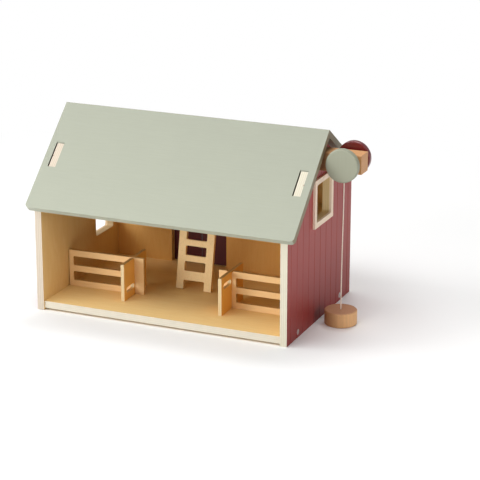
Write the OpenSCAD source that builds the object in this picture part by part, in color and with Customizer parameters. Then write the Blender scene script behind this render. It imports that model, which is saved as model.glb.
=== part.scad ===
// Toy barn with a lift-off roof, a pair of doors at the back, loose fences, a ladder and a hoist.
// Millimetres. X runs along the ridge, the open side faces -Y and Z is up from the table.
// The origin is on the table, under the middle of the walls.

/* [House] */
// Width over the outer faces of the two gables
house_w = 340; // [300:1:380]
// Depth of the walls, front edge to back face
house_d = 220; // [210:1:240]
// Thickness of the wall, floor and loft boards
board_t = 9; // [8:0.5:10]
// Height of the floor board's underside over the table
floor_lift = 2.5; // [0.5:0.1:4]
// How far the floor board's front edge stands back from the gables' front edges
floor_inset = 2; // [0:0.5:4]
// Height of the roof's ridge over the table
ridge_z = 244; // [238:1:256]
// Place of the ridge, behind the middle of the walls
ridge_y = 1; // [-4:0.5:4]
// Slope of the front roof panel in degrees
front_pitch = 42.7; // [41.5:0.1:43.5]
// Slope of the rear roof panel in degrees
rear_pitch = 33.5; // [31:0.1:35]
// Width of one painted plank, groove to groove
plank_w = 19.5; // [16:0.5:24]
// Width of a plank groove at the surface
groove_w = 1.6; // [1:0.1:2.4]
// Depth of a plank groove
groove_d = 0.9; // [0.5:0.1:1.4]

/* [Roof] */
// Thickness of the roof panels
roof_t = 8; // [7:0.5:10]
// How far the roof reaches past each gable
gable_overhang = 10; // [8:0.5:12]
// How far the roof reaches past the walls' front edge
front_overhang = 6; // [4:0.5:9]
// How far the roof reaches past the back wall
rear_overhang = 6; // [4:0.5:9]
// Sideways place of the loose roof, as it was last put down
roof_shift = -0.75; // [-0.8:0.05:0]
// Play beside a gable's tongue in its roof slot, on each side
slot_side_play = 0.95; // [0.9:0.05:1.5]
// Play at the upper end of a roof slot
slot_high_play = 1.2; // [0.5:0.1:2]
// Play at the lower end of a roof slot
slot_low_play = 0.25; // [0.2:0.05:1]
// Nearer end of the front tongue, in front of the ridge
tongue_near = 45.6; // [38:0.5:50]
// Length of a tongue, front to back
tongue_len = 25.8; // [18:0.2:30]
// Radius of the roof's corners at the eaves
eave_r = 5; // [2:0.5:8]
// Height of the glue batten under the ridge
batten_h = 9; // [6:0.5:11]
// Length of the glue batten
batten_len = 300; // [240:5:310]

/* [Windows] */
// Width of both window openings
window_w = 50; // [40:1:54]
// Height of both window openings
window_h = 48; // [40:1:52]
// Corner radius of a window opening
window_r = 3; // [1:0.5:6]
// Middle of the right gable's window, behind the middle of the walls
right_window_y = 4; // [-4:1:8]
// Distance of the right gable's window under the hoist beam
right_window_drop = 16.2; // [12:0.2:22]
// Distance of the left window's middle from the back of the walls
left_window_inset = 49; // [45:0.5:56]
// Lower edge of the left gable's window
left_window_z = 55; // [40:1:58]
// Width of a window frame's rails
frame_rail = 6.5; // [5:0.5:8]
// How far a window frame stands out
frame_t = 3; // [2:0.5:4]

/* [Doors] */
// Middle of the doorway, right of the middle of the walls
doorway_x = -41; // [-60:1:40]
// Width of the doorway
doorway_w = 80; // [70:1:90]
// Height of the doorway over the floor
doorway_h = 93; // [80:1:95]
// Thickness of the doors
door_t = 6; // [5:0.5:7]
// How far a door covers the wall at its side and its top
door_overlap = 3; // [2:0.5:4]
// Gap between the two doors
door_gap = 1.5; // [1:0.1:3]
// Gap between the wall and the closed doors
door_stand_off = 1.5; // [1.2:0.1:1.8]
// Height of the doors' lower edge over the table
door_foot = 3; // [2:0.5:5]
// Radius of a hinge knuckle
knuckle_r = 2; // [1.8:0.1:2.1]
// Height of one hinge
hinge_h = 16; // [14:1:20]
// Thickness of the hinge leaves
leaf_t = 0.8; // [0.6:0.1:1]
// Width of the leaf on the wall
wall_leaf_w = 8; // [7:0.5:10]
// Radius of a hinge pin
hinge_pin_r = 0.9; // [0.7:0.05:1]
// Distance of a hinge's middle from the door's top or foot
hinge_inset = 18; // [14:1:26]
// Radius of a door knob
knob_r = 5; // [4:0.5:6]
// How far a door knob stands out
knob_len = 9; // [8:0.5:12]

/* [Loft and ladder] */
// Height of the loft's upper face
loft_z = 118; // [116:1:122]
// Front edge of the loft, behind the middle of the walls
loft_front = 26; // [20:0.5:36]
// Depth of the grooves that hold the loft
dado_d = 3; // [2:0.5:4]
// Width of the ladder
ladder_w = 49; // [44:1:56]
// Middle of the ladder, right of the middle of the walls
ladder_x = -4.2; // [-12:0.2:0]
// Thickness of the ladder and of the fence boards
thin_t = 4.5; // [4:0.5:6]
// Lean of the ladder from upright in degrees
ladder_lean = 10.5; // [9:0.5:12]
// Distance from one ladder slot to the next
rung_pitch = 20.3; // [20:0.1:21]
// Height of a ladder slot
rung_gap = 12.5; // [9:0.1:13.5]
// Width of the ladder's uprights
ladder_side = 10; // [8:0.5:12]
// Number of ladder slots
rung_slots = 5; // [4:1:5]
// Height of the cut between the ladder's feet
foot_cut_h = 11.8; // [8:0.2:12]

/* [Fences] */
// Height of the fences
fence_h = 48.6; // [45:0.2:56]
// Length of the long fence boards
fence_len = 105; // [100:1:108]
// Place of the crossing, from a long board's wall end
fence_lap_x = 90; // [84:1:92]
// Length of the crossing boards
cross_len = 68; // [60:1:72]
// Height of a fence slot
fence_slot_h = 12.2; // [9:0.2:13]
// Length of a fence slot
fence_slot_len = 76; // [68:1:78]
// Width of a fence board's upright at the wall end
fence_stile = 6; // [4:0.5:8]
// Place of the long fence boards, in front of the middle of the walls
fence_y = 37; // [32:0.5:40]
// Distance of the left fence's wall end from the gable
left_fence_gap = 1.1; // [0.5:0.05:2]
// Distance of the right fence's wall end from the gable
right_fence_gap = 5.8; // [1:0.2:10]
// How far the left fence is turned, in degrees
left_fence_turn = 1.9; // [0:0.1:3]
// Length of the oblong hole in a crossing board
cross_hole_len = 24; // [18:0.5:24]
// Height of the oblong hole
cross_hole_h = 7.4; // [6:0.2:9]
// Play in the half-lap joint, on each side
lap_play = 0.15; // [0.1:0.05:0.3]

/* [Hoist] */
// Width and height of the square beam
beam_w = 24; // [20:0.5:24]
// Depth of the beam's middle under the roof's ridge
beam_drop = 36.8; // [36:0.2:40]
// How far the beam reaches past the right gable
beam_reach = 55; // [52:0.5:58]
// Distance of the axle from the beam's end
axle_inset = 20.5; // [18:0.5:22]
// Radius of the axle
axle_r = 4; // [3.5:0.1:5]
// Radius of the hoist wheels
wheel_r = 21; // [19:0.5:22]
// Thickness of the hoist wheels
wheel_t = 8; // [7:0.5:9]
// Gap between the beam and each wheel
wheel_gap = 5; // [5:0.5:8]
// Rounding of the wheels' edges
wheel_round = 1.6; // [1:0.1:2]
// Radius of the hoist's wooden weight
weight_r = 20.4; // [17:0.1:21]
// Height of the weight
weight_h = 18.4; // [18:0.2:24]
// Diameter of the hoist string
string_d = 1.6; // [1.2:0.1:2]

/* [Hidden] */
$fn = 48;
// Small distance by which a cut runs past a face
over = 1;
// Height of the roof over its rest on the gables
seat = 0.3;
// Gap between loose pieces and what they stand on or lean on
rest_gap = 0.2;

// House
half_w = house_w / 2;
half_d = house_d / 2;
inner_x = half_w - board_t;
back_y = half_d - board_t;
floor_z = floor_lift + board_t;

// Hoist beam and the windows that are placed from it and from the back wall
beam_z = ridge_z - beam_drop;
right_window_z = beam_z - beam_w / 2 - right_window_drop - window_h;
left_window_y = half_d - left_window_inset;

// Roof lines in the YZ plane
front_eave_y = -half_d - front_overhang;
rear_eave_y = half_d + rear_overhang;
function front_top(y) = ridge_z - (ridge_y - y) * tan(front_pitch);
function rear_top(y) = ridge_z - (y - ridge_y) * tan(rear_pitch);
function front_under(y) = front_top(y) - roof_t / cos(front_pitch);
function rear_under(y) = rear_top(y) - roof_t / cos(rear_pitch);
apex_y = ridge_y + roof_t * (1 / cos(front_pitch) - 1 / cos(rear_pitch))
    / (tan(front_pitch) + tan(rear_pitch));
apex_z = front_under(apex_y);
front_tongue = [ridge_y - tongue_near - tongue_len, ridge_y - tongue_near];
rear_tongue = [ridge_y + tongue_near, ridge_y + tongue_near + tongue_len];
roof_half = half_w + gable_overhang;
slot_w = board_t + 2 * slot_side_play;

// Screws that hold the floor between the gables
floor_screw_y = 73;
floor_screw_r = 1.5;
floor_screw_head_r = 3.5;
floor_screw_head_h = 2.2;
floor_screw_len = 28;
floor_screw_z = 7;
recess_w = 0.9;
recess_len = 4;
recess_d = 1.2;

// Dowels between the back wall and the gables
dowel_r = 2;
dowel_len = 18;
dowel_in_gable = 5;
dowel_heights = [30, 80, 130];

// Doors and hinges
door_w = doorway_w / 2 + door_overlap - door_gap / 2;
door_top = floor_z + doorway_h + door_overlap;
door_y = half_d + door_stand_off;
hinge_x = doorway_w / 2 + door_overlap + knuckle_r;
hinge_y = half_d + knuckle_r;
hinge_heights = [door_foot + hinge_inset, door_top - hinge_inset];
knuckle_play = 0.3;
knuckle_end = 5;
knuckle_clear = 0.3;
pin_play = 0.05;
hinge_screw_r = 0.7;
hinge_screw_head_r = 1.4;
hinge_screw_head_h = 0.7;
hinge_screw_len = 5;
hinge_screw_inset = 3;
hinge_screw_z = hinge_h / 2 - hinge_screw_inset;
wall_screw_x = wall_leaf_w - hinge_screw_inset;
knob_inset = 8;
knob_z = floor_z + doorway_h / 2;
knob_stem_r = 2;
knob_neck_r = 2.6;
knob_neck = 3;
knob_edge = 1.5;
knob_dome = 2.5;
knob_waist = 0.5;

// Ladder
first_slot_z = 23.8;
ladder_top_rung = 7.8;
ladder_len = first_slot_z + (rung_slots - 1) * rung_pitch + rung_gap + ladder_top_rung;
ladder_slot_r = 1.6;
// Back edge of the ladder's foot, so that its back face meets the loft's upper edge
ladder_foot_y = loft_front - rest_gap - (loft_z - floor_z) * tan(ladder_lean);

// Fences
fence_bar = (fence_h - 2 * fence_slot_h) / 3;
fence_slot_r = 2;
lap_mouth_r = 3;
cross_hole_x = 6.2;
cross_hole_z = 8.8;
fence_base = floor_z + rest_gap;
left_cross_x = inner_x - left_fence_gap - fence_lap_x * cos(left_fence_turn);
right_cross_x = inner_x - right_fence_gap - fence_lap_x;

// Hoist
beam_top = beam_z + beam_w / 2;
beam_end = half_w + beam_reach;
beam_edge = 1;
axle_x = beam_end - axle_inset;
axle_play = 0.06;
wheel_seat = 5;
axle_half = beam_w / 2 + wheel_gap + wheel_seat;
string_y = ridge_y - beam_w / 2 - wheel_gap / 2;
string_hole_r = 1.15;
weight_edge = 1;
weight_recess_r = 5;
weight_recess_h = 6;
knot_r = 2.2;
knot_h = 2.8;
// Centreline of the hoist string, from the knot on the axle down to the knot under the weight,
// which stands a little towards the gable
string_route = [
    [204.5, -13.5, 211], [204.5, -13.5, 195], [204, -12.3, 170], [203.3, -10.8, 145],
    [202.4, -9.1, 120], [201.5, -7.5, 95], [200.7, -6, 70], [200.3, -5.2, 45],
    [200.3, -5.2, 25], [200.3, -5.2, 6.2]
];
route_end = string_route[len(string_route) - 1];
weight_place = [route_end[0], route_end[1], 0];
string_sides = 8;
rings_per_step = 5;

paint_red = [0.55, 0.17, 0.17];
paint_green = [0.74, 0.77, 0.68];
birch = [0.88, 0.74, 0.54];
beech = [0.72, 0.52, 0.34];
cream = [0.92, 0.87, 0.77];
steel = [0.7, 0.7, 0.7];

// Shared shapes

// A flat board in the YZ plane, from x to x + t
module board_yz(x, t) {
    translate([x, 0, 0]) rotate([90, 0, 90]) linear_extrude(height = t) children();
}

// A flat board in the XZ plane, from y to y + t
module board_xz(y, t) {
    translate([0, y + t, 0]) rotate([90, 0, 0]) linear_extrude(height = t) children();
}

// A rectangle with round corners, its lower left corner at the origin
module round_rect(w, h, r) {
    translate([r, 0]) square([w - 2 * r, h]);
    translate([0, r]) square([w, h - 2 * r]);
    for (x = [r, w - r], y = [r, h - r]) translate([x, y]) circle(r = r);
}

// A vertical groove between two planks, cut into the face that points along +X at the origin
module plank_groove(h) {
    translate([0, 0, -over]) linear_extrude(height = h + 2 * over)
        polygon([[groove_d, -groove_w], [-groove_d, 0], [groove_d, groove_w]]);
}

// Points of an arc round (cx, cy)
function arc(cx, cy, r, a0, a1, n = 6) =
    [for (k = [0:n]) let (a = a0 + (a1 - a0) * k / n) [cx + r * cos(a), cy + r * sin(a)]];

// A countersunk screw along +Z whose head's face is at the origin
module screw(r, head_r, head_h, len) {
    translate([0, 0, -len]) cylinder(h = len, r = r);
    translate([0, 0, -head_h]) cylinder(h = head_h, r1 = r, r2 = head_r);
}

// House

module gable_outline() {
    polygon([
        [-half_d, 0], [half_d, 0], [half_d, rear_under(half_d) - seat],
        [rear_tongue[1], rear_under(rear_tongue[1]) - seat],
        [rear_tongue[1], rear_top(rear_tongue[1]) - seat],
        [rear_tongue[0], rear_top(rear_tongue[0]) - seat],
        [rear_tongue[0], rear_under(rear_tongue[0]) - seat],
        [apex_y, apex_z - seat],
        [front_tongue[1], front_under(front_tongue[1]) - seat],
        [front_tongue[1], front_top(front_tongue[1]) - seat],
        [front_tongue[0], front_top(front_tongue[0]) - seat],
        [front_tongue[0], front_under(front_tongue[0]) - seat],
        [-half_d, front_under(-half_d) - seat]
    ]);
}

// Everything that is cut out of a gable, drawn for the right one
module gable_cuts(window_y, window_z) {
    board_yz(inner_x - over, board_t + 2 * over) {
        translate([window_y - window_w / 2, window_z]) round_rect(window_w, window_h, window_r);
        translate([ridge_y - beam_w / 2, beam_z - beam_w / 2]) square([beam_w, ridge_z]);
    }
    plank_count = floor((half_d - groove_w) / plank_w);
    for (k = [-plank_count:plank_count])
        translate([half_w, k * plank_w, 0]) plank_groove(ridge_z);
    translate([inner_x - over, loft_front, loft_z - board_t])
        cube([dado_d + over, half_d, board_t]);
    for (side = [-1, 1]) translate([half_w, side * floor_screw_y, floor_screw_z])
        rotate([0, 90, 0]) screw(floor_screw_r, floor_screw_head_r, floor_screw_head_h, floor_screw_len);
    for (z = dowel_heights) translate([inner_x - over, half_d - board_t / 2, z])
        rotate([0, 90, 0]) cylinder(h = dowel_in_gable + over, r = dowel_r);
}

module left_gable() {
    color(paint_red) difference() {
        board_yz(-half_w, board_t) gable_outline();
        mirror([1, 0, 0]) gable_cuts(left_window_y, left_window_z);
    }
}

module right_gable() {
    color(paint_red) difference() {
        board_yz(inner_x, board_t) gable_outline();
        gable_cuts(right_window_y, right_window_z);
    }
}

module back_wall() {
    color(paint_red) difference() {
        board_yz(-inner_x, 2 * inner_x) polygon([
            [back_y, 0], [half_d, 0],
            [half_d, rear_under(half_d) - seat], [back_y, rear_under(back_y) - seat]
        ]);
        translate([doorway_x - doorway_w / 2, back_y - over, floor_z])
            cube([doorway_w, board_t + 2 * over, doorway_h]);
        translate([-half_w, back_y - over, -over]) cube([house_w, over + floor_tongue, floor_z + over]);
        translate([-half_w, back_y - over, loft_z - board_t]) cube([house_w, dado_d + over, board_t]);
        plank_count = floor((inner_x - groove_w) / plank_w);
        for (k = [-plank_count:plank_count])
            translate([k * plank_w, half_d, 0]) rotate([0, 0, 90]) plank_groove(ridge_z);
        for (side = [-1, 1], z = dowel_heights)
            translate([side * inner_x, half_d - board_t / 2, z]) rotate([0, side * -90, 0])
                cylinder(h = dowel_len - dowel_in_gable, r = dowel_r);
        for (side = [-1, 1]) hinge_wall_holes(side);
    }
}
// How far the floor board reaches into the back wall
floor_tongue = 4;

module floor_board() {
    color(birch) difference() {
        translate([-inner_x, floor_inset - half_d, floor_lift])
            cube([2 * inner_x, house_d - floor_inset - board_t + floor_tongue, board_t]);
        for (side = [-1, 1], y = [-1, 1]) translate([side * half_w, y * floor_screw_y, floor_screw_z])
            rotate([0, side * 90, 0])
                screw(floor_screw_r, floor_screw_head_r, floor_screw_head_h, floor_screw_len);
    }
}

module loft_board() {
    color(birch) translate([-inner_x - dado_d, loft_front, loft_z - board_t])
        cube([2 * (inner_x + dado_d), back_y + dado_d - loft_front, board_t]);
}

module floor_screws() {
    color(steel) for (side = [-1, 1], y = [-1, 1])
        translate([side * half_w, y * floor_screw_y, floor_screw_z]) rotate([0, side * 90, 0])
            difference() {
                screw(floor_screw_r, floor_screw_head_r, floor_screw_head_h, floor_screw_len);
                for (turn = [0, 90]) rotate([0, 0, turn])
                    translate([-recess_len / 2, -recess_w / 2, -recess_d])
                        cube([recess_len, recess_w, recess_d + over]);
            }
}

module wall_dowels() {
    color(beech) for (side = [-1, 1], z = dowel_heights)
        translate([side * (inner_x + dowel_in_gable), half_d - board_t / 2, z])
            rotate([0, side * -90, 0]) cylinder(h = dowel_len, r = dowel_r);
}

// Window frames

module window_frame(x, window_y, window_z) {
    board_yz(x, frame_t) translate([window_y - window_w / 2, window_z]) difference() {
        translate([-frame_rail, -frame_rail])
            square([window_w + 2 * frame_rail, window_h + 2 * frame_rail]);
        round_rect(window_w, window_h, window_r);
    }
}

module left_window_frame() {
    color(cream) window_frame(-half_w - frame_t, left_window_y, left_window_z);
}

module right_window_frame() {
    color(cream) window_frame(half_w, right_window_y, right_window_z);
}

// Roof

module roof_slots(tongue, low_play, high_play) {
    for (side = [-1, 1])
        translate([side * (half_w - board_t / 2) + roof_shift - slot_w / 2, tongue[0] - low_play, 0])
            cube([slot_w, tongue_len + low_play + high_play, 2 * ridge_z]);
}

// Rounds both corners of a panel at its eave; dir is -1 in front and 1 at the rear
module eave_corners(pitch, eave_y, eave_z, dir) {
    for (side = [-1, 1])
        translate([roof_shift + side * roof_half, eave_y, eave_z]) rotate([-dir * pitch, 0, 0])
            mirror([side < 0 ? 1 : 0, 0, 0]) mirror([0, dir > 0 ? 1 : 0, 0])
                translate([0, 0, -roof_t - over]) linear_extrude(height = roof_t + 2 * over)
                    difference() {
                        translate([-eave_r, -over]) square(eave_r + over);
                        translate([-eave_r, eave_r]) circle(r = eave_r);
                    }
}

module roof_front_panel() {
    down = [cos(front_pitch), sin(front_pitch)];
    color(paint_green) difference() {
        board_yz(roof_shift - roof_half, 2 * roof_half) polygon([
            [ridge_y, ridge_z], [front_eave_y, front_top(front_eave_y)],
            [front_eave_y + roof_t * down[1], front_top(front_eave_y) - roof_t * down[0]],
            [apex_y, apex_z]
        ]);
        roof_slots(front_tongue, slot_low_play, slot_high_play);
        eave_corners(front_pitch, front_eave_y, front_top(front_eave_y), -1);
    }
}

module roof_rear_panel() {
    down = [cos(rear_pitch), sin(rear_pitch)];
    color(paint_green) difference() {
        board_yz(roof_shift - roof_half, 2 * roof_half) polygon([
            [ridge_y, ridge_z], [apex_y, apex_z],
            [rear_eave_y - roof_t * down[1], rear_top(rear_eave_y) - roof_t * down[0]],
            [rear_eave_y, rear_top(rear_eave_y)]
        ]);
        roof_slots(rear_tongue, slot_high_play, slot_low_play);
        eave_corners(rear_pitch, rear_eave_y, rear_top(rear_eave_y), 1);
    }
}

module ridge_batten() {
    color(birch) board_yz(roof_shift - batten_len / 2, batten_len) polygon([
        [apex_y, apex_z],
        [apex_y - batten_h / tan(front_pitch), apex_z - batten_h],
        [apex_y + batten_h / tan(rear_pitch), apex_z - batten_h]
    ]);
}

// Doors, drawn for the right one: the hinge is at +X and mirror() gives the left one

// Puts a shape of the right door in place, or of the left one
module at_door(side) {
    translate([doorway_x, 0, 0]) mirror([side < 0 ? 1 : 0, 0, 0]) children();
}

// Repeats a shape at both hinges, with the hinge's axis and middle at the origin
module at_hinges() {
    for (z = hinge_heights) translate([hinge_x, hinge_y, z]) children();
}

module hinge_zone(low, high, r) {
    translate([0, 0, low]) cylinder(h = high - low, r = r);
}

module hinge_wall_leaf() {
    mid = hinge_h / 2 - knuckle_end;
    difference() {
        union() {
            translate([0, -knuckle_r, -hinge_h / 2]) cube([wall_leaf_w, leaf_t, hinge_h]);
            hinge_zone(-hinge_h / 2, -mid, knuckle_r);
            hinge_zone(mid, hinge_h / 2, knuckle_r);
        }
        hinge_zone(-mid - knuckle_play / 2, mid + knuckle_play / 2, knuckle_r + knuckle_clear);
        hinge_zone(-hinge_h, hinge_h, hinge_pin_r);
        hinge_leaf_holes_wall();
    }
}

module hinge_leaf_holes_wall() {
    for (z = [-1, 1]) translate([wall_screw_x, leaf_t - knuckle_r, z * hinge_screw_z])
        rotate([-90, 0, 0]) hinge_screw();
}

module hinge_leaf_holes_door() {
    for (z = [-1, 1]) translate([-knuckle_r + leaf_t, door_leaf_mid, z * hinge_screw_z])
        rotate([0, 90, 0]) hinge_screw();
}

module hinge_screw() {
    screw(hinge_screw_r, hinge_screw_head_r, hinge_screw_head_h, hinge_screw_len);
}

// Middle of the door's edge, seen from the hinge's axis
door_leaf_mid = door_stand_off + door_t / 2 - knuckle_r + 0.4;

module hinge_door_leaf() {
    mid = hinge_h / 2 - knuckle_end - knuckle_play;
    difference() {
        union() {
            translate([-knuckle_r, 0, -hinge_h / 2])
                cube([leaf_t, door_stand_off + door_t - knuckle_r, hinge_h]);
            hinge_zone(-mid, mid, knuckle_r);
        }
        for (z = [-1, 1]) translate([0, 0, z * (hinge_h / 2 + mid)])
            hinge_zone(-hinge_h / 2, hinge_h / 2, knuckle_r + knuckle_clear);
        hinge_zone(-hinge_h, hinge_h, hinge_pin_r + pin_play);
        hinge_leaf_holes_door();
    }
}

module hinge_wall_holes(side) {
    at_door(side) at_hinges() hinge_leaf_holes_wall();
}

module door(side) {
    color(paint_red) at_door(side) difference() {
        translate([door_gap / 2, door_y, door_foot]) cube([door_w, door_t, door_top - door_foot]);
        plank_count = floor(door_w / plank_w);
        for (k = [1:plank_count]) translate([k * plank_w, door_y + door_t, 0])
            rotate([0, 0, 90]) plank_groove(ridge_z);
        translate([door_gap / 2 + knob_inset, door_y, knob_z]) rotate([-90, 0, 0])
            translate([0, 0, door_t / 2]) cylinder(h = door_t, r = knob_stem_r);
        at_hinges() hinge_leaf_holes_door();
    }
}

module door_knob(side) {
    color(birch) at_door(side)
        translate([door_gap / 2 + knob_inset, door_y + door_t, knob_z]) rotate([-90, 0, 0])
            rotate_extrude() polygon(concat(
                [[0, -door_t / 2], [knob_stem_r, -door_t / 2], [knob_stem_r, 0], [knob_neck_r, 0]],
                [[knob_neck_r, knob_neck - knob_waist]],
                arc(knob_r - knob_edge, knob_neck + knob_edge, knob_edge, -90, 0),
                arc(knob_r - knob_dome, knob_len - knob_dome, knob_dome, 0, 90),
                [[0, knob_len]]
            ));
}

module hinge_wall_leaves(side) {
    color(steel) at_door(side) at_hinges() hinge_wall_leaf();
}

module hinge_door_leaves(side) {
    color(steel) at_door(side) at_hinges() hinge_door_leaf();
}

module hinge_pins(side) {
    color(steel) at_door(side) at_hinges() hinge_zone(-hinge_h / 2, hinge_h / 2, hinge_pin_r);
}

module hinge_wall_screws() {
    color(steel) for (side = [-1, 1]) at_door(side) at_hinges() hinge_leaf_holes_wall();
}

module door_screws(side) {
    color(steel) at_door(side) at_hinges() hinge_leaf_holes_door();
}

module left_door() { door(-1); }
module right_door() { door(1); }
module left_door_knob() { door_knob(-1); }
module right_door_knob() { door_knob(1); }
module left_hinge_wall_leaves() { hinge_wall_leaves(-1); }
module right_hinge_wall_leaves() { hinge_wall_leaves(1); }
module left_hinge_door_leaves() { hinge_door_leaves(-1); }
module right_hinge_door_leaves() { hinge_door_leaves(1); }
module left_hinge_pins() { hinge_pins(-1); }
module right_hinge_pins() { hinge_pins(1); }
module left_door_screws() { door_screws(-1); }
module right_door_screws() { door_screws(1); }

// Hoist

module hoist_beam() {
    h = beam_w / 2;
    e = beam_edge;
    color(beech) difference() {
        translate([0, ridge_y, beam_z]) board_yz(-half_w, house_w + beam_reach) polygon([
            [-h + e, -h], [h - e, -h], [h, -h + e], [h, h - e],
            [h - e, h], [-h + e, h], [-h, h - e], [-h, -h + e]
        ]);
        translate([axle_x, ridge_y, beam_z]) rotate([90, 0, 0])
            cylinder(h = 2 * beam_w, r = axle_r + axle_play, center = true);
    }
}

module hoist_axle() {
    color(beech) difference() {
        translate([axle_x, ridge_y, beam_z]) rotate([90, 0, 0])
            cylinder(h = 2 * axle_half, r = axle_r, center = true);
        translate([axle_x, string_y, beam_z]) cylinder(h = 4 * axle_r, r = string_hole_r, center = true);
    }
}

// A wheel whose inner face is at the origin and whose outer face points along +Z
module hoist_wheel() {
    rotate_extrude() polygon(concat(
        [[0, wheel_seat], [axle_r, wheel_seat], [axle_r, 0]],
        arc(wheel_r - wheel_round, wheel_round, wheel_round, -90, 0),
        arc(wheel_r - wheel_round, wheel_t - wheel_round, wheel_round, 0, 90),
        [[0, wheel_t]]
    ));
}

module green_wheel() {
    color(paint_green) translate([axle_x, ridge_y - beam_w / 2 - wheel_gap, beam_z])
        rotate([90, 0, 0]) hoist_wheel();
}

module red_wheel() {
    color(paint_red) translate([axle_x, ridge_y + beam_w / 2 + wheel_gap, beam_z])
        rotate([-90, 0, 0]) hoist_wheel();
}

// A knot in the string, standing on the origin
module knot() {
    rotate_extrude() polygon(concat(
        [[0, 0]],
        arc(knot_r - knot_h / 2, knot_h / 2, knot_h / 2, -90, 90, 8),
        [[0, knot_h]]
    ));
}

module axle_knot() {
    color(cream) translate([axle_x, string_y, beam_z + axle_r]) knot();
}

module hoist_weight() {
    e = weight_edge;
    color(beech) translate(weight_place) rotate_extrude() polygon([
        [weight_recess_r, 0], [weight_r - e, 0], [weight_r, e], [weight_r, weight_h - e],
        [weight_r - e, weight_h], [string_hole_r, weight_h],
        [string_hole_r, weight_recess_h], [weight_recess_r, weight_recess_h]
    ]);
}

module weight_knot() {
    color(cream) translate(weight_place) translate([0, 0, weight_recess_h - knot_h]) knot();
}

module hoist_string() {
    last = len(string_route) - 1;
    steps = last * rings_per_step;
    rings = [for (k = [0:steps])
        let (i = min(floor(k / rings_per_step), last - 1), f = k / rings_per_step - i)
            string_route[i] * (1 - f) + string_route[i + 1] * f];
    points = [for (p = rings, s = [0:string_sides - 1])
        let (a = 360 * s / string_sides) p + [string_d / 2 * cos(a), string_d / 2 * sin(a), 0]];
    n = string_sides;
    walls = [for (k = [0:steps - 1], s = [0:n - 1])
        [k * n + s, k * n + (s + 1) % n, (k + 1) * n + (s + 1) % n, (k + 1) * n + s]];
    top = [[for (s = [0:n - 1]) n - 1 - s]];
    bottom = [[for (s = [0:n - 1]) steps * n + s]];
    color(cream) polyhedron(points = points, faces = concat(walls, top, bottom));
}

// Ladder

module ladder() {
    slot_x = ladder_side - ladder_w / 2;
    slot_len = ladder_w - 2 * ladder_side;
    color(birch) translate([ladder_x, ladder_foot_y, floor_z + rest_gap])
        rotate([-ladder_lean, 0, 0]) board_xz(-thin_t, thin_t) difference() {
            translate([-ladder_w / 2, 0]) square([ladder_w, ladder_len]);
            for (k = [0:rung_slots - 1])
                translate([slot_x, first_slot_z + k * rung_pitch])
                    round_rect(slot_len, rung_gap, ladder_slot_r);
            translate([slot_x, foot_cut_h - 2 * rung_gap])
                round_rect(slot_len, 2 * rung_gap, ladder_slot_r);
        }
}

// Fences

// Half of the cross-lap joint: a slot from the lower edge to the middle, with round lips
module lap_slot(x) {
    half = thin_t / 2 + lap_play;
    translate([x - half, -over]) square([2 * half, fence_h / 2 + lap_play + over]);
    for (side = [-1, 1]) translate([x + side * half, 0]) difference() {
        translate([side < 0 ? -lap_mouth_r : 0, -over]) square([lap_mouth_r, lap_mouth_r + over]);
        translate([side * lap_mouth_r, lap_mouth_r]) circle(r = lap_mouth_r);
    }
}

// Turns a flat fence board upside down in its own plane
module upside_down(turned) {
    translate([0, turned ? fence_h : 0]) mirror([0, turned ? 1 : 0]) children();
}

// A long board from its wall end at 0, seen from the front, with its lap slot below
module long_outline() {
    difference() {
        square([fence_len, fence_h]);
        for (z = [fence_bar, 2 * fence_bar + fence_slot_h])
            translate([fence_stile, z]) round_rect(fence_slot_len, fence_slot_h, fence_slot_r);
        lap_slot(fence_lap_x);
    }
}

// A crossing board from its front end at 0, with its lap slot below and its hole above
module cross_outline() {
    difference() {
        square([cross_len, fence_h]);
        translate([cross_hole_x, fence_h - cross_hole_z - cross_hole_h])
            round_rect(cross_hole_len, cross_hole_h, cross_hole_h / 2 - 0.01);
        lap_slot(cross_len / 2);
    }
}

// Puts a fence in place, its crossing at the origin
module at_fence(side) {
    x = side < 0 ? -left_cross_x : right_cross_x;
    turn = side < 0 ? left_fence_turn : 0;
    translate([x, -fence_y, fence_base]) rotate([0, 0, turn]) children();
}

module fence_long(side) {
    color(birch) at_fence(side) mirror([side < 0 ? 0 : 1, 0, 0])
        translate([-fence_lap_x, 0, 0]) board_xz(-thin_t / 2, thin_t)
            upside_down(side > 0) long_outline();
}

module fence_cross(side) {
    color(birch) at_fence(side) translate([0, -cross_len / 2, 0])
        board_yz(-thin_t / 2, thin_t) upside_down(side < 0) cross_outline();
}

module left_fence_long() { fence_long(-1); }
module left_fence_cross() { fence_cross(-1); }
module right_fence_long() { fence_long(1); }
module right_fence_cross() { fence_cross(1); }

left_gable();
right_gable();
back_wall();
floor_board();
loft_board();
left_window_frame();
right_window_frame();
hoist_beam();
floor_screws();
wall_dowels();
left_hinge_wall_leaves();
right_hinge_wall_leaves();
left_hinge_pins();
right_hinge_pins();
hinge_wall_screws();
roof_front_panel();
roof_rear_panel();
ridge_batten();
left_door();
left_hinge_door_leaves();
left_door_screws();
left_door_knob();
right_door();
right_hinge_door_leaves();
right_door_screws();
right_door_knob();
hoist_axle();
green_wheel();
red_wheel();
axle_knot();
hoist_weight();
weight_knot();
hoist_string();
ladder();
left_fence_cross();
left_fence_long();
right_fence_long();
right_fence_cross();
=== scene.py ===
"""Toy barn of painted plywood with a lift-off roof, rear doors, fences, a ladder and a hoist.

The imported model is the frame. This script gives its nodes their wood, paint and metal,
replaces the hoist string by a twisted one, and sets the floor, the light and the camera.
Lengths are metres in the code and millimetres inside the materials.
"""
import math

import bpy
from mathutils import Matrix, Vector


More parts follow.
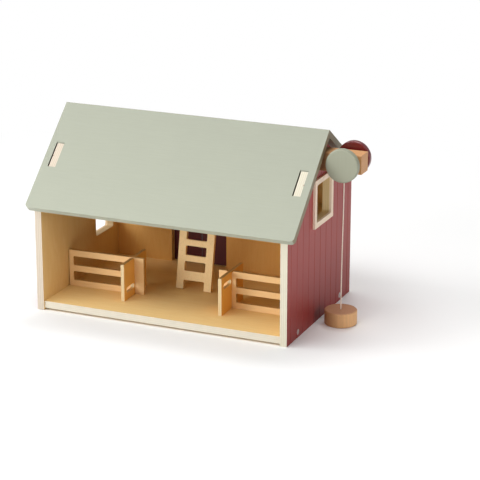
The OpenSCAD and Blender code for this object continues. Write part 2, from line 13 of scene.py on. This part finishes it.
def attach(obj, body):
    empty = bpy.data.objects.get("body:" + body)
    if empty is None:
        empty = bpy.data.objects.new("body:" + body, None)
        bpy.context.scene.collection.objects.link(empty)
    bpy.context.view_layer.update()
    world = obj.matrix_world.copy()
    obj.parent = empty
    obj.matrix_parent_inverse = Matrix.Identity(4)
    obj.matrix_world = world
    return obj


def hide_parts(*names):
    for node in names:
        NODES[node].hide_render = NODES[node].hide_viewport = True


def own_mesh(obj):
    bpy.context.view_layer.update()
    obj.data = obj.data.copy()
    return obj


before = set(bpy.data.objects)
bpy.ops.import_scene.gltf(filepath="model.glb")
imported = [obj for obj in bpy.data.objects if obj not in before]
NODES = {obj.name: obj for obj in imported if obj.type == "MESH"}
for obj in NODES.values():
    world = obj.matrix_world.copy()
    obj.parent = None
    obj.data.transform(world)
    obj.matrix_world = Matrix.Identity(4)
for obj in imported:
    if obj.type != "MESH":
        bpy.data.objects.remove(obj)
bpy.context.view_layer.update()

MM = 0.001
HALF_W = 170.0
BOARD = 9.0


# Camera

CAMERA_AT = (0.93969, -2.05402, 0.81055)
CAMERA_AZIMUTH = 23.14
CAMERA_ELEVATION = 17.9
CAMERA_ROLL = 0.08
CAMERA_LENS = 139.74


def make_camera():
    az = math.radians(CAMERA_AZIMUTH)
    el = math.radians(CAMERA_ELEVATION)
    roll = math.radians(CAMERA_ROLL)
    back = Vector((math.sin(az) * math.cos(el), -math.cos(az) * math.cos(el), math.sin(el)))
    right = Vector((math.cos(az), math.sin(az), 0.0))
    up = back.cross(right)
    across = right * math.cos(roll) + up * math.sin(roll)
    upward = up * math.cos(roll) - right * math.sin(roll)
    data = bpy.data.cameras.new("camera")
    data.lens = CAMERA_LENS
    data.sensor_width = 36.0
    data.clip_start = 0.05
    data.clip_end = 50.0
    cam = bpy.data.objects.new("camera", data)
    bpy.context.scene.collection.objects.link(cam)
    turn = Matrix((across, upward, back)).transposed().to_4x4()
    cam.matrix_world = Matrix.Translation(CAMERA_AT) @ turn
    bpy.context.scene.camera = cam


make_camera()


# A small language for materials

class Tree:
    """A material whose nodes are made by short calls. Vectors are in millimetres of the row frame."""

    def __init__(self, name):
        self.mat = bpy.data.materials.new(name)
        self.mat.use_nodes = True
        self.nt = self.mat.node_tree
        self.nt.nodes.clear()
        self.out = self.nt.nodes.new("ShaderNodeOutputMaterial")
        coords = self.nt.nodes.new("ShaderNodeTexCoord")
        self.normal = coords.outputs["Normal"]
        self.p = self.vmath("SCALE", coords.outputs["Object"], scale=1000.0)
        self.x, self.y, self.z = self.split(self.p)
        self.nx, self.ny, self.nz = self.split(self.normal)

    def put(self, socket, value):
        if isinstance(value, bpy.types.NodeSocket):
            self.nt.links.new(value, socket)
        elif isinstance(value, (tuple, list)) and len(value) == 3 and socket.type == "RGBA":
            socket.default_value = (*value, 1.0)
        else:
            socket.default_value = value

    def split(self, v):
        n = self.nt.nodes.new("ShaderNodeSeparateXYZ")
        self.put(n.inputs[0], v)
        return n.outputs[0], n.outputs[1], n.outputs[2]

    def join(self, x, y, z):
        n = self.nt.nodes.new("ShaderNodeCombineXYZ")
        for k, v in enumerate((x, y, z)):
            self.put(n.inputs[k], v)
        return n.outputs[0]

    def math(self, op, a, b=0.0, c=0.0, clamp=False):
        n = self.nt.nodes.new("ShaderNodeMath")
        n.operation = op
        n.use_clamp = clamp
        for k, v in enumerate((a, b, c)):
            self.put(n.inputs[k], v)
        return n.outputs[0]

    def add(self, a, b):
        return self.math("ADD", a, b)

    def sub(self, a, b):
        return self.math("SUBTRACT", a, b)

    def mul(self, a, b):
        return self.math("MULTIPLY", a, b)

    def abs(self, a):
        return self.math("ABSOLUTE", a)

    def vmath(self, op, a, b=(0.0, 0.0, 0.0), scale=1.0):
        n = self.nt.nodes.new("ShaderNodeVectorMath")
        n.operation = op
        self.put(n.inputs[0], a)
        if op == "SCALE":
            self.put(n.inputs["Scale"], scale)
        elif op != "LENGTH":
            self.put(n.inputs[1], b)
        return n.outputs["Value" if op in ("LENGTH", "DOT_PRODUCT") else "Vector"]

    def ramp(self, value, low, high, to_low=0.0, to_high=1.0, smooth=True):
        """Maps low..high to to_low..to_high, held outside."""
        n = self.nt.nodes.new("ShaderNodeMapRange")
        n.interpolation_type = "SMOOTHSTEP" if smooth else "LINEAR"
        n.clamp = True
        for k, v in enumerate((value, low, high, to_low, to_high)):
            self.put(n.inputs[k], v)
        return n.outputs[0]

    def facing(self, part):
        """1 where a part of the normal is large, so where the surface faces along that axis."""
        return self.ramp(self.abs(part), 0.6, 0.8)

    def band(self, value, start, full, still, end):
        """1 from full to still on both sides of the middle, 0 before start and after end."""
        far = self.abs(value)
        return self.mul(self.ramp(far, start, full), self.ramp(far, still, end, 1.0, 0.0))

    def noise(self, vector, scale=1.0, detail=3.0, rough=0.5, distort=0.0):
        n = self.nt.nodes.new("ShaderNodeTexNoise")
        self.put(n.inputs["Vector"], vector)
        self.put(n.inputs["Scale"], scale)
        self.put(n.inputs["Detail"], detail)
        self.put(n.inputs["Roughness"], rough)
        self.put(n.inputs["Distortion"], distort)
        return n.outputs[0]

    def stretched(self, sx, sy, sz, move=0.0):
        """The place in millimetres, multiplied per axis."""
        v = self.vmath("MULTIPLY", self.p, (sx, sy, sz))
        return self.vmath("ADD", v, (move, move * 0.7, move * 1.3))

    def mix(self, fac, a, b, mode="MIX"):
        n = self.nt.nodes.new("ShaderNodeMix")
        n.data_type = "RGBA"
        n.blend_type = mode
        n.clamp_factor = True
        self.put(n.inputs[0], fac)
        self.put(n.inputs[6], a)
        self.put(n.inputs[7], b)
        return n.outputs[2]

    def shade(self, color, amount):
        """Multiplies a colour by a number."""
        n = self.nt.nodes.new("ShaderNodeVectorMath")
        n.operation = "SCALE"
        self.put(n.inputs[0], color)
        self.put(n.inputs["Scale"], amount)
        return n.outputs[0]

    def bump(self, height, strength=0.3, distance=0.1):
        n = self.nt.nodes.new("ShaderNodeBump")
        self.put(n.inputs["Strength"], strength)
        self.put(n.inputs["Distance"], distance * MM)
        self.put(n.inputs["Height"], height)
        return n.outputs[0]

    def finish(self, color, rough=0.5, normal=None, metal=0.0, specular=0.5, sheen=0.0, coat=0.0):
        b = self.nt.nodes.new("ShaderNodeBsdfPrincipled")
        self.put(b.inputs["Base Color"], color)
        self.put(b.inputs["Roughness"], rough)
        self.put(b.inputs["Metallic"], metal)
        self.put(b.inputs["Specular IOR Level"], specular)
        self.put(b.inputs["Sheen Weight"], sheen)
        self.put(b.inputs["Coat Weight"], coat)
        if normal is not None:
            self.put(b.inputs["Normal"], normal)
        self.nt.links.new(b.outputs[0], self.out.inputs[0])
        return self.mat


# Places, in millimetres

BACK_WALL_Y = 101.0
FLOOR_LIFT = 2.5
LOFT_Z = 109.0
THIN = 4.5
FENCE_Y = -37.0
FENCE_CENTRE = {"left": -69.95, "right": 65.2}
WEIGHT_AT = (200.3, -5.2)
PITH_AT = (209.3, 31.0, 0.0)
# Where the painted shade of the roof's overhang on the hoist beam ends
BEAM_SHADE_END = HALF_W + 18.0
# The roof's slots, from and to, with a soft edge at each end
SLOT_X = (156.0, 157.0, 174.0, 175.0)
SLOT_Y = (38.0, 40.0, 78.0, 80.0)
# Behind this the edges of a painted board are those of its window or doorway
REVEAL_Y = (-35.0, -30.0)
# Height over which the walls' red goes from RED_PAINTED_SHADE to its full colour. RED_PAINTED_SHADE is
# painted shade plus a painted dark reflection of the shadowed floor, low on the walls
PAINTED_SHADE_Z = (10.0, 110.0)
# Heights over which the roof's painted light goes from paler at the eaves to darker at the ridge
ROOF_PAINTED_LIGHT_Z = (140.0, 240.0)

# Colours, each pair light and dark

BIRCH = ((0.88, 0.62, 0.28), (0.78, 0.49, 0.175))
WARM_BIRCH = ((0.95, 0.57, 0.18), (0.87, 0.46, 0.11))
# The left wall's birch, painted a little darker as painted shade against the light on its inner face
SHADED_LEFT_BIRCH = ((0.84, 0.60, 0.275), (0.74, 0.47, 0.17))
FLOOR_BIRCH = ((0.97, 0.71, 0.33), (0.89, 0.59, 0.23))
# LONG_BIRCH_LIT and CROSS_BIRCH_SHADED are one fence birch: a paler copy painted as lit for the long boards,
# a deeper orange copy with painted shade for the cross boards
LONG_BIRCH_LIT = ((0.94, 0.66, 0.345), (0.87, 0.56, 0.255))
CROSS_BIRCH_SHADED = ((0.91, 0.485, 0.11), (0.83, 0.41, 0.08))
# One frame wood with painted light: the left frame painted darker for the strong light on it, the right
# frame paler for the shade on it
FRAME_WOOD_PAINTED_LIGHT = {
    "left": ((0.74, 0.56, 0.34), (0.60, 0.42, 0.22)),
    "right": ((0.98, 0.83, 0.67), (0.93, 0.73, 0.54)),
}
PLY_EDGE = ((0.71, 0.68, 0.56), (0.55, 0.46, 0.30))
WHITE_EDGE = ((0.73, 0.68, 0.57), (0.63, 0.55, 0.41))
# The left wall's edges, painted darker as painted shade
GREY_EDGE_SHADED = ((0.66, 0.58, 0.48), (0.47, 0.36, 0.24))
THIN_EDGE = ((0.78, 0.63, 0.38), (0.60, 0.42, 0.20))
# The thin boards' top and end edges, painted darker as painted shade
THIN_UPPER_SHADED = ((0.72, 0.42, 0.15), (0.50, 0.27, 0.08))
REVEAL = ((0.82, 0.64, 0.34), (0.60, 0.42, 0.18))
# The left window's reveal, painted darker as painted shade against the light on it
LEFT_REVEAL_SHADED = ((0.56, 0.41, 0.22), (0.42, 0.27, 0.12))
BEECH = ((0.66, 0.42, 0.23), (0.50, 0.29, 0.14))
BEAM_BEECH = ((0.72, 0.38, 0.165), (0.58, 0.28, 0.105))
LADDER_BEECH = ((0.94, 0.69, 0.35), (0.86, 0.58, 0.26))
# The weight's side as a lit and a shaded tone: painted light and shade
WEIGHT_SIDE_LIT_AND_SHADED = ((0.82, 0.47, 0.215), (0.33, 0.145, 0.055))
WEIGHT_TOP = (0.50, 0.258, 0.138)
YARN = ((0.95, 0.85, 0.75), (0.76, 0.64, 0.53))
STEEL = (0.62, 0.61, 0.59)
GREEN = (0.352, 0.369, 0.294)
GREEN_END = (0.24, 0.20, 0.125)
# Painted shade inside the roof's slots
GREEN_SLOT_SHADE = (0.05, 0.052, 0.038)
WHEEL_GREEN = (0.31, 0.32, 0.235)
RED = (0.355, 0.052, 0.044)
# Painted shade: the red low on the walls, darker as if in shade and reflecting the shadowed floor
RED_PAINTED_SHADE = (0.26, 0.022, 0.017)
DOOR_RED = (0.115, 0.016, 0.020)
WHEEL_RED = (0.154, 0.0065, 0.010)

BARE_SPECULAR = 0.28
PAINTED_SPECULAR = 0.45


# Materials

def along(t, axis, fine, coarse, move=0.0):
    """A place whose length along one axis counts little, so that noise gives streaks along it."""
    s = [fine, fine, fine]
    s["xyz".index(axis)] = coarse
    return t.stretched(*s, move=move)


def birch(t, axis, tones, move=0.0):
    """Rotary-cut birch: faint wide waves, fine streaks and short pores. Returns colour and height."""
    waves = t.noise(along(t, axis, 0.055, 0.008, move), 1.0, 2.0, 0.5, 1.2)
    bands = t.math("SINE", t.mul(waves, 34.0))
    streaks = t.noise(along(t, axis, 1.1, 0.035), 1.0, 3.0, 0.6)
    pores = t.ramp(t.noise(along(t, axis, 3.2, 0.22), 1.0, 1.0, 0.5), 0.62, 0.74)
    fac = t.add(t.mul(bands, 0.10), t.add(t.mul(streaks, 0.75), 0.10))
    color = t.shade(t.mix(fac, *tones), t.sub(1.0, t.mul(pores, 0.10)))
    height = t.sub(t.mul(streaks, 0.5), t.mul(pores, 0.5))
    return color, height


def ply_edge(t, axis, low, thick, plies, tones, move=0.0):
    """The layers that show on a board's edge. low is the place of one face along the board's thin axis."""
    pale_edge, dark_edge = tones
    place = {"x": t.x, "y": t.y, "z": t.z}[axis]
    depth = t.math("DIVIDE", t.sub(place, low), thick / plies)
    layer = t.math("FLOOR", depth)
    inside = t.sub(depth, layer)
    cross = t.math("MODULO", t.abs(layer), 2.0)
    glue = t.ramp(t.math("MINIMUM", inside, t.sub(1.0, inside)), 0.03, 0.16, 1.0, 0.0)
    length_axis = "y" if axis == "x" else "x"
    fine = t.noise(t.stretched(0.9, 0.9, 0.9, move=move), 1.0, 3.0, 0.6)
    long_streaks = t.noise(along(t, length_axis, 2.2, 0.12), 1.0, 2.0, 0.5)
    middle = t.mix(0.4, pale_edge, dark_edge)
    pale = t.mix(t.mul(fine, 0.30), pale_edge, middle)
    dark = t.mix(t.mul(long_streaks, 0.7), middle, dark_edge)
    color = t.mix(t.mul(cross, 0.6), pale, dark)
    color = t.mix(t.mul(glue, 0.45), color, dark_edge)
    height = t.sub(t.mul(fine, 0.4), t.add(glue, t.mul(cross, 0.3)))
    return color, height


def board_material(name, axis, low, thick, grain, plies=7, move=0.0, face=BIRCH, edge=PLY_EDGE,
                   upper_edge=None, painted=None, reveal=REVEAL):
    """A plywood board with birch faces and layered edges; painted(t) masks what red paint covers.

    upper_edge, where given, paints the edges that don't face the front or back in darker tones, as painted
    shade."""
    t = Tree(name)
    face_color, face_h = birch(t, grain, face, move)
    edge_color, edge_h = ply_edge(t, axis, low, thick, plies, edge, move)
    # Painted shade on the edges that don't face the front or back
    if upper_edge is not None:
        upper, _ = ply_edge(t, axis, low, thick, plies, upper_edge, move)
        edge_color = t.mix(t.facing(t.ny), upper, edge_color)
    if painted is not None:
        inner, _ = ply_edge(t, axis, low, thick, plies, reveal, move)
        edge_color = t.mix(t.ramp(t.y, *REVEAL_Y), edge_color, inner)
    on_face = t.facing({"x": t.nx, "y": t.ny, "z": t.nz}[axis])
    color = t.mix(on_face, edge_color, face_color)
    height = t.add(t.mul(face_h, on_face), t.mul(edge_h, t.sub(1.0, on_face)))
    rough = t.add(t.mul(face_h, 0.08), 0.56)
    specular = BARE_SPECULAR
    if painted is not None:
        mask = painted(t)
        brush = t.noise(along(t, grain, 0.9, 0.05), 1.0, 3.0, 0.6)
        cloud = t.noise(t.stretched(0.03, 0.03, 0.03, move=7.0), 1.0, 2.0, 0.5)
        tone = t.add(0.93, t.add(t.mul(brush, 0.10), t.mul(cloud, 0.06)))
        # The walls' red is painted darker towards the bottom, as painted shade and a painted reflection of
        # the shadowed floor
        red_with_painted_shade = t.mix(t.ramp(t.z, *PAINTED_SHADE_Z), RED_PAINTED_SHADE, RED)
        color = t.mix(mask, color, t.shade(red_with_painted_shade, tone))
        height = t.mix(mask, height, t.mul(brush, 0.8))
        rough = t.sub(rough, t.mul(mask, 0.10))
        specular = PAINTED_SPECULAR
    return t.finish(color, rough, t.bump(height, 0.25, 0.12), specular=specular)


def paint_layers(t, grain):
    """Brushed paint with the grain just felt through it. Returns tone, cloud and height."""
    brush = t.noise(along(t, grain, 0.8, 0.03), 1.0, 3.0, 0.6)
    grain_h = t.noise(along(t, grain, 2.4, 0.10), 1.0, 2.0, 0.6)
    cloud = t.noise(t.stretched(0.02, 0.02, 0.02, move=3.0), 1.0, 2.0, 0.5)
    tone = t.add(0.92, t.add(t.mul(brush, 0.10), t.mul(cloud, 0.06)))
    height = t.add(t.mul(brush, 0.6), t.mul(grain_h, 0.4))
    return tone, cloud, height


def paint_material(name, color, rough, coat=0.0):
    t = Tree(name)
    tone, cloud, height = paint_layers(t, "z")
    rough_now = t.add(t.mul(cloud, 0.08), rough - 0.04)
    return t.finish(t.shade(color, tone), rough_now, t.bump(height, 0.22, 0.10), coat=coat)


def beech_material(name, grain, tones=BEECH, shaded=False):
    """Solid beech: long streaks and short dark flecks; shaded paints the shade of the roof's overhang on it
    just outside the gable.
    """
    t = Tree(name)
    streaks = t.noise(along(t, grain, 0.5, 0.03), 1.0, 4.0, 0.6, 0.4)
    flecks = t.ramp(t.noise(along(t, grain, 2.6, 0.45), 1.0, 1.0, 0.5), 0.60, 0.70)
    color = t.shade(t.mix(streaks, *tones), t.sub(1.0, t.mul(flecks, 0.22)))
    if shaded:
        # Painted shade of the roof's overhang, from the gable's face out to BEAM_SHADE_END
        outside = t.ramp(t.x, HALF_W - 5.0, HALF_W - 1.0)
        overhang_shade = t.ramp(t.x, BEAM_SHADE_END - 14.0, BEAM_SHADE_END, 0.65, 0.0)
        color = t.shade(color, t.sub(1.0, t.mul(outside, overhang_shade)))
    height = t.sub(t.mul(streaks, 0.5), flecks)
    return t.finish(color, t.add(0.45, t.mul(flecks, 0.1)), t.bump(height, 0.3, 0.10), specular=0.35)


def roof_material(name, slope_normal):
    """Grey-green paint, browner on the boards' ends, with painted shade in the slots and painted light that
    makes it a little paler towards the eaves.
    """
    t = Tree(name)
    tone, cloud, height = paint_layers(t, "x")
    # Painted light: the paint is paler towards the eaves and darker towards the ridge
    tone = t.mul(tone, t.ramp(t.z, *ROOF_PAINTED_LIGHT_Z, 1.05, 0.95, smooth=False))
    flat = t.vmath("DOT_PRODUCT", t.normal, slope_normal)
    on_side = t.ramp(t.abs(flat), 0.4, 0.6, 1.0, 0.0)
    # Painted shade: the walls of the slots are painted dark
    slot_shade = t.mul(t.mul(on_side, t.band(t.x, *SLOT_X)), t.band(t.y, *SLOT_Y))
    color = t.shade(t.mix(t.facing(t.nx), GREEN, GREEN_END), tone)
    color = t.mix(slot_shade, color, GREEN_SLOT_SHADE)
    return t.finish(color, t.add(t.mul(cloud, 0.08), 0.46), t.bump(height, 0.22, 0.10), specular=0.4)


def weight_material(name):
    """A disc turned from beech: rings on the ends, upright streaks, and a side with painted light towards +x
    and painted shade towards -x.
    """
    t = Tree(name)
    from_pith = t.vmath("LENGTH", t.vmath("SUBTRACT", t.join(t.x, t.y, 0.0), PITH_AT))
    waver = t.noise(t.stretched(0.05, 0.05, 0.02), 1.0, 2.0, 0.5)
    rings = t.math("SINE", t.add(t.mul(from_pith, 2.3), t.mul(waver, 9.0)))
    rays = t.noise(along(t, "z", 1.6, 0.05), 1.0, 3.0, 0.6)
    pores = t.ramp(t.noise(t.stretched(3.0, 3.0, 0.25), 1.0, 1.0, 0.5), 0.60, 0.72)
    # Painted light and shade: the side goes from its shaded tone at -x to its lit tone at +x
    across = t.ramp(t.x, WEIGHT_AT[0] - 20.0, WEIGHT_AT[0] + 20.0, smooth=False)
    lit, dim = WEIGHT_SIDE_LIT_AND_SHADED
    side = t.shade(t.mix(across, dim, lit), t.add(0.80, t.add(t.mul(rays, 0.36), t.mul(rings, 0.05))))
    top = t.shade(WEIGHT_TOP, t.add(0.90, t.add(t.mul(rings, 0.09), t.mul(rays, 0.16))))
    color = t.shade(t.mix(t.facing(t.nz), side, top), t.sub(1.0, t.mul(pores, 0.18)))
    return t.finish(color, 0.5, t.bump(t.sub(rays, pores), 0.25, 0.08), specular=0.35)


def steel_material(name):
    """Brushed steel with fine scratches."""
    t = Tree(name)
    scratch = t.noise(t.stretched(6.0, 6.0, 1.2), 1.0, 2.0, 0.6)
    color = t.shade(STEEL, t.add(0.85, t.mul(scratch, 0.2)))
    return t.finish(color, t.add(0.28, t.mul(scratch, 0.18)), t.bump(scratch, 0.1, 0.03), metal=1.0)


def cotton_material(name):
    """Cotton yarn: fine fibres along the twist."""
    t = Tree(name)
    fibre = t.noise(t.stretched(7.0, 7.0, 2.2), 1.0, 2.0, 0.6)
    return t.finish(t.mix(fibre, *YARN), 0.9, t.bump(fibre, 0.4, 0.08), sheen=0.3)


def left_paint(t):
    """Paint lies on a wall's outer face and in its grooves, not on its edges."""
    return t.ramp(t.mul(t.nx, -1.0), 0.25, 0.45)


def right_paint(t):
    return t.ramp(t.nx, 0.25, 0.45)


def back_paint(t):
    return t.ramp(t.ny, 0.25, 0.45)


materials = {}


def dress(name, make, *values, **named):
    materials[name] = make(name, *values, **named)


dress("left_gable", board_material, "x", -HALF_W, BOARD, "z", face=SHADED_LEFT_BIRCH, edge=GREY_EDGE_SHADED,
      painted=left_paint, reveal=LEFT_REVEAL_SHADED)
dress("right_gable", board_material, "x", HALF_W - BOARD, BOARD, "z", move=11.0, painted=right_paint)
dress("back_wall", board_material, "y", BACK_WALL_Y, BOARD, "z", move=5.0, face=WARM_BIRCH,
      painted=back_paint)
dress("floor_board", board_material, "z", FLOOR_LIFT, BOARD, "x", move=9.0, face=FLOOR_BIRCH,
      edge=WHITE_EDGE)
dress("loft_board", board_material, "z", LOFT_Z, BOARD, "x", move=13.0)
dress("ladder", beech_material, "z", LADDER_BEECH)
for side, move in (("left", 3.0), ("right", 8.0)):
    # Long boards in the birch painted as lit, cross boards in the birch with painted shade, top edges with
    # painted shade
    dress(side + "_fence_long", board_material, "y", FENCE_Y - THIN / 2, THIN, "x", plies=3, move=move,
          face=LONG_BIRCH_LIT, edge=THIN_EDGE, upper_edge=THIN_UPPER_SHADED)
    dress(side + "_fence_cross", board_material, "x", FENCE_CENTRE[side] - THIN / 2, THIN, "z", plies=3,
          move=move + 1.0, face=CROSS_BIRCH_SHADED, edge=THIN_EDGE, upper_edge=THIN_UPPER_SHADED)
    dress(side + "_window_frame", board_material, "x", 0.0, 100.0, "y", plies=1, face=FRAME_WOOD_PAINTED_LIGHT[side],
          edge=FRAME_WOOD_PAINTED_LIGHT[side])
    dress(side + "_door", paint_material, DOOR_RED, 0.5)
    dress(side + "_door_knob", beech_material, "y")
for panel, pitch, way in (("roof_front_panel", 42.7, -1.0), ("roof_rear_panel", 33.5, 1.0)):
    slope = math.radians(pitch)
    dress(panel, roof_material, (0.0, way * math.sin(slope), math.cos(slope)))
dress("ridge_batten", beech_material, "x")
dress("hoist_beam", beech_material, "x", BEAM_BEECH, shaded=True)
dress("hoist_axle", beech_material, "y")
dress("hoist_weight", weight_material)
dress("green_wheel", paint_material, WHEEL_GREEN, 0.42)
dress("red_wheel", paint_material, WHEEL_RED, 0.24, coat=0.3)
dress("wall_dowels", beech_material, "x")
steel = steel_material("steel")
cotton = cotton_material("cotton")
for name in NODES:
    if "hinge" in name or "screws" in name:
        materials[name] = steel
    if "knot" in name or "string" in name:
        materials[name] = cotton

# Rounding of the edges, in millimetres
ROUNDING = {
    "roof_front_panel": 0.9, "roof_rear_panel": 0.9, "left_gable": 0.35, "right_gable": 0.35,
    "back_wall": 0.3, "floor_board": 0.5, "loft_board": 0.5, "ladder": 0.5, "left_fence_long": 0.4,
    "right_fence_long": 0.4, "left_fence_cross": 0.4, "right_fence_cross": 0.4, "left_window_frame": 0.4,
    "right_window_frame": 0.4, "left_door": 0.5, "right_door": 0.5, "hoist_beam": 0.4, "hoist_weight": 0.4,
}


def soften(obj, width):
    """Merges flat faces and rounds the sharp edges, both as modifiers."""
    flat = obj.modifiers.new("flat", "DECIMATE")
    flat.decimate_type = "DISSOLVE"
    flat.angle_limit = math.radians(0.5)
    bevel = obj.modifiers.new("edge", "BEVEL")
    bevel.width = width * MM
    bevel.segments = 2
    bevel.limit_method = "ANGLE"
    bevel.angle_limit = math.radians(35)
    bevel.use_clamp_overlap = True


for name, obj in NODES.items():
    obj.data.materials.clear()
    obj.data.materials.append(materials[name])
    if name in ROUNDING:
        soften(obj, ROUNDING[name])


# String

# Centreline from the knot on the axle to the knot in the weight, which stands nearer the gable
STRING_ROUTE = (
    (204.5, -13.5, 211.0), (204.5, -13.5, 195.0), (204.0, -12.3, 170.0), (203.3, -10.8, 145.0),
    (202.4, -9.1, 120.0), (201.5, -7.5, 95.0), (200.7, -6.0, 70.0), (200.3, -5.2, 45.0),
    (200.3, -5.2, 25.0), (200.3, -5.2, 6.2),
)
STRING_TOP = STRING_ROUTE[0]
STRING_DROP = STRING_TOP[2] - STRING_ROUTE[-1][2]


def string_centre(z):
    """The route's place at a height."""
    for high, low in zip(STRING_ROUTE, STRING_ROUTE[1:]):
        if z >= low[2]:
            break
    part = max(0.0, min(1.0, (high[2] - z) / (high[2] - low[2])))
    return tuple(h + (w - h) * part for h, w in zip(high, low))


def twisted_string():
    """Three plies twisted round each other, from the knot on the axle to the knot in the weight."""
    plies = 3
    sides = 8
    lay_length = 5.2
    ply_r = 0.40
    centre_r = 0.40
    rings = int(STRING_DROP / 0.6)
    verts = []
    faces = []
    for k in range(plies):
        start = len(verts)
        for i in range(rings + 1):
            fall = STRING_DROP * i / rings
            x, y, z = string_centre(STRING_TOP[2] - fall)
            a = 2 * math.pi * (k / plies + fall / lay_length)
            cx = x + centre_r * math.cos(a)
            cy = y + centre_r * math.sin(a)
            for s in range(sides):
                b = 2 * math.pi * s / sides
                verts.append(((cx + ply_r * math.cos(b)) * MM, (cy + ply_r * math.sin(b)) * MM, z * MM))
        for i in range(rings):
            for s in range(sides):
                a0 = start + i * sides + s
                a1 = start + i * sides + (s + 1) % sides
                faces.append((a0, a1, a1 + sides, a0 + sides))
        faces.append([start + s for s in range(sides)][::-1])
        faces.append([start + rings * sides + s for s in range(sides)])
    mesh = bpy.data.meshes.new("string")
    mesh.from_pydata(verts, [], faces)
    for p in mesh.polygons:
        p.use_smooth = True
    mesh.materials.append(cotton)
    obj = bpy.data.objects.new("string", mesh)
    bpy.context.scene.collection.objects.link(obj)
    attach(obj, "barn")
    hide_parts("hoist_string")
    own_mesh(obj)
    return obj


twisted_string()


# Floor, light and background

PAPER = 0.93
PAPER_SEEN = 0.955
PAPER_NEAR = 420.0
PAPER_FAR = 900.0
FLOOR_HALF = 12.0
FLOOR_Z = -0.0002


def paper_material():
    """White paper that keeps the shadow near the barn and runs out to plain white, as the camera sees it."""
    t = Tree("floor_paper")
    path = t.nt.nodes.new("ShaderNodeLightPath")
    seen = path.outputs["Is Camera Ray"]
    away = t.vmath("LENGTH", t.join(t.x, t.y, 0.0))
    far = t.ramp(away, PAPER_NEAR, PAPER_FAR)
    tone = t.ramp(seen, 0.0, 1.0, PAPER, PAPER_SEEN, smooth=False)
    diffuse = t.nt.nodes.new("ShaderNodeBsdfDiffuse")
    t.put(diffuse.inputs["Color"], t.shade((1.0, 1.0, 0.995), tone))
    glow = t.nt.nodes.new("ShaderNodeEmission")
    mixed = t.nt.nodes.new("ShaderNodeMixShader")
    t.put(mixed.inputs[0], t.mul(seen, far))
    t.nt.links.new(diffuse.outputs[0], mixed.inputs[1])
    t.nt.links.new(glow.outputs[0], mixed.inputs[2])
    t.nt.links.new(mixed.outputs[0], t.out.inputs[0])
    return t.mat


def make_floor():
    mesh = bpy.data.meshes.new("floor")
    s = FLOOR_HALF
    corners = [(-s, -s, FLOOR_Z), (s, -s, FLOOR_Z), (s, s, FLOOR_Z), (-s, s, FLOOR_Z)]
    mesh.from_pydata(corners, [], [(0, 1, 2, 3)])
    mesh.materials.append(paper_material())
    obj = bpy.data.objects.new("floor", mesh)
    bpy.context.scene.collection.objects.link(obj)


make_floor()

# Round lamps on a dome: azimuth from the front, to the right, elevation, watts
LAMPS = {
    "front_left": (-38, 14, 36.0),
    "front": (-10, 15, 12.0),
    "left": (-65, 38, 28.0),
    "left_top": (-60, 64, 8.0),
    "rear_left_top": (-120, 64, 16.0),
    "front_top": (0, 64, 23.0),
    "rear_top": (180, 64, 35.0),
    "right": (45, 38, 7.0),
    "right_low": (80, 14, 18.0),
}
LAMP_AWAY = 3.0
LAMP_SIZE = 1.5
LAMP_AIM = Vector((0.0, 0.0, 0.1))


def make_lamp(name, azimuth, elevation, watts):
    az = math.radians(azimuth)
    el = math.radians(elevation)
    way = Vector((math.sin(az) * math.cos(el), -math.cos(az) * math.cos(el), math.sin(el)))
    data = bpy.data.lights.new(name, "AREA")
    data.shape = "DISK"
    data.size = LAMP_SIZE
    data.energy = watts
    obj = bpy.data.objects.new(name, data)
    bpy.context.scene.collection.objects.link(obj)
    obj.location = way * LAMP_AWAY
    obj.rotation_euler = (LAMP_AIM - obj.location).to_track_quat("-Z", "Y").to_euler()
    obj.visible_camera = False


for lamp, (azimuth, elevation, watts) in LAMPS.items():
    make_lamp(lamp, azimuth, elevation, watts)

WORLD_SEEN = 1.0
WORLD_MIRRORED = 0.4
WORLD_FELT = 0.03


def make_world():
    """White for the camera, softer in reflections and hardly a light at all."""
    world = bpy.data.worlds.new("world")
    bpy.context.scene.world = world
    world.use_nodes = True
    nt = world.node_tree
    path = nt.nodes.new("ShaderNodeLightPath")
    shiny = nt.nodes.new("ShaderNodeMath")
    shiny.operation = "MAXIMUM"
    nt.links.new(path.outputs["Is Glossy Ray"], shiny.inputs[0])
    nt.links.new(path.outputs["Is Transmission Ray"], shiny.inputs[1])
    low = nt.nodes.new("ShaderNodeMapRange")
    low.inputs["To Min"].default_value = WORLD_FELT
    low.inputs["To Max"].default_value = WORLD_MIRRORED
    nt.links.new(shiny.outputs[0], low.inputs["Value"])
    all_rays = nt.nodes.new("ShaderNodeMapRange")
    all_rays.inputs["To Max"].default_value = WORLD_SEEN
    nt.links.new(path.outputs["Is Camera Ray"], all_rays.inputs["Value"])
    nt.links.new(low.outputs[0], all_rays.inputs["To Min"])
    back = nt.nodes["Background"]
    back.inputs[0].default_value = (1.0, 1.0, 1.0, 1.0)
    nt.links.new(all_rays.outputs[0], back.inputs[1])


make_world()

bpy.context.scene.view_settings.view_transform = "Standard"
bpy.context.scene.view_settings.look = "None"
bpy.context.scene.view_settings.exposure = 0.0
bpy.context.scene.view_settings.gamma = 1.0
